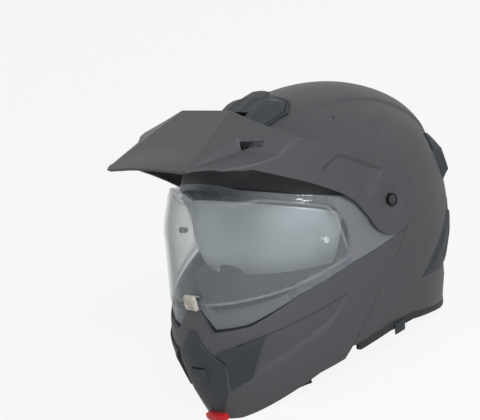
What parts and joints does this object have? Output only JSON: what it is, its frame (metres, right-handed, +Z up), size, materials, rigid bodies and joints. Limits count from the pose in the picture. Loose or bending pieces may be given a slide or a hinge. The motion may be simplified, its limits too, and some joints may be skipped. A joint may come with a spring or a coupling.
{
  "type": "modular motorcycle helmet",
  "caption": "Flip-front road and trail helmet with a long angular peak, clear shield, mirrored inner sun visor, chin bar latch and lined interior.",
  "frame": {"origin": "centre of the footprint on the ground, under the resting helmet", "axes": "+Z up, the face looks along -Y, the wearer's left is +X"},
  "size_m": [0.2642, 0.3516, 0.2833],
  "materials": {
    "shell_grey": "satin grey paint",
    "trim_dark": "moulded, fine grain",
    "panel_black": "moulded, matte",
    "lever_red": "moulded, glossy",
    "latch_ivory": "moulded",
    "shield_clear": "clear polycarbonate, hard coated",
    "lens_clear": "clear film",
    "visor_mirror": "tinted and mirror coated",
    "rubber_black": "extruded rubber",
    "foam_black": "expanded polystyrene beads",
    "pad_fabric": "brushed knit over foam",
    "strap_webbing": "woven nylon",
    "strip_black": "moulded",
    "steel": "plain steel"
  },
  "bodies": {
    "helmet": {"outer_shell": "shell_grey", "top_vent": "trim_dark", "rear_spoiler": "trim_dark", "rear_vent_left": "trim_dark", "rear_vent_right": "trim_dark", "pivot_caps": "trim_dark", "side_panel_left": "panel_black", "side_panel_right": "panel_black", "insert_panel_left": "panel_black", "insert_panel_right": "panel_black", "pivot_bushes": "panel_black", "sun_visor_pins": "panel_black", "buckle_housing": "panel_black", "edge_trim_rear": "rubber_black", "edge_trim_left": "rubber_black", "edge_trim_right": "rubber_black", "brow_gasket": "rubber_black", "eps_crown": "foam_black", "eps_nape": "foam_black", "crown_pad": "pad_fabric", "cheek_pad_left": "pad_fabric", "cheek_pad_right": "pad_fabric", "neck_roll": "pad_fabric", "strap_left": "strap_webbing", "strap_right": "strap_webbing", "buckle_strip": "strip_black", "striker_pins": "steel", "lever_pins": "steel", "strap_rivets": "steel", "buckle_pin": "steel", "pivot_screws": "steel"},
    "chin_bar": {"chin_bar": "shell_grey", "chin_liner": "foam_black", "chin_trim": "trim_dark", "chin_vent_left": "trim_dark", "chin_vent_right": "trim_dark", "breath_guard": "rubber_black"},
    "shield": {"shield": "shield_clear", "antifog_lens": "lens_clear", "lens_pins": "panel_black", "latch_pin": "steel"},
    "shield_latch": {"shield_latch": "latch_ivory"},
    "sun_visor": {"sun_visor": "visor_mirror"},
    "sun_visor_slider": {"sun_visor_slider": "trim_dark"},
    "peak": {"peak": "shell_grey"},
    "release_button": {"release_button": "lever_red"},
    "chin_vent_slider": {"chin_vent_slider": "trim_dark"},
    "top_vent_slider": {"top_vent_slider": "trim_dark"},
    "release_lever_left": {"release_lever_left": "lever_red"},
    "release_lever_right": {"release_lever_right": "lever_red"},
    "buckle_lever": {"buckle_lever": "lever_red"}
  },
  "joints": [
    {"name": "chin_bar_flip", "type": "hinge", "parent": "helmet", "child": "chin_bar", "pos_m": [0, 0.01595, 0.157], "axis": [-1, 0, 0], "range_deg": [0, 85]},
    {"name": "peak_lift", "type": "hinge", "parent": "helmet", "child": "peak", "pos_m": [0, 0.01595, 0.157], "axis": [-1, 0, 0], "range_deg": [0, 42.5]},
    {"name": "shield_lift", "type": "hinge", "parent": "chin_bar", "child": "shield", "pos_m": [0, 0.01595, 0.157], "axis": [1, 0, 0], "range_deg": [-42, 0]},
    {"name": "shield_latch_turn", "type": "hinge", "parent": "shield", "child": "shield_latch", "pos_m": [0, -0.15265, 0.126], "axis": [-1, 0, 0], "range_deg": [0, 20]},
    {"name": "sun_visor_swing", "type": "hinge", "parent": "helmet", "child": "sun_visor", "pos_m": [0, 0.00395, 0.145], "axis": [-1, 0, 0], "range_deg": [0, 48]},
    {"name": "sun_visor_slide", "type": "slide", "parent": "helmet", "child": "sun_visor_slider", "axis": [0.0386, 0.9993, 0], "range_m": [0, 0.01802]},
    {"name": "release_press", "type": "slide", "parent": "chin_bar", "child": "release_button", "axis": [0, 1, 0], "range_m": [0, 0.003], "stiffness_N_per_m": 600, "springref_m": -0.001},
    {"name": "chin_vent_slide", "type": "slide", "parent": "chin_bar", "child": "chin_vent_slider", "axis": [0, -0.0872, 0.9962], "range_m": [0, 0.004]},
    {"name": "top_vent_slide", "type": "slide", "parent": "helmet", "child": "top_vent_slider", "axis": [0, 0.9063, 0.4226], "range_m": [0, 0.006]},
    {"name": "release_left_turn", "type": "hinge", "parent": "helmet", "child": "release_lever_left", "pos_m": [0.112, -0.02605, 0.125], "axis": [1, 0, 0], "range_deg": [0, 30]},
    {"name": "release_right_turn", "type": "hinge", "parent": "helmet", "child": "release_lever_right", "pos_m": [-0.112, -0.02605, 0.125], "axis": [1, 0, 0], "range_deg": [0, 30]},
    {"name": "buckle_lever_turn", "type": "hinge", "parent": "helmet", "child": "buckle_lever", "pos_m": [0.029, 0.01795, 0.0176], "axis": [0, 1, 0], "range_deg": [0, 60]}
  ],
  "couplings": [
    {"joint": "peak_lift", "follows": "chin_bar_flip", "ratio": 0.5},
    {"joint": "sun_visor_slide", "follows": "sun_visor_swing", "m_per_rad": 0.0215}
  ]
}
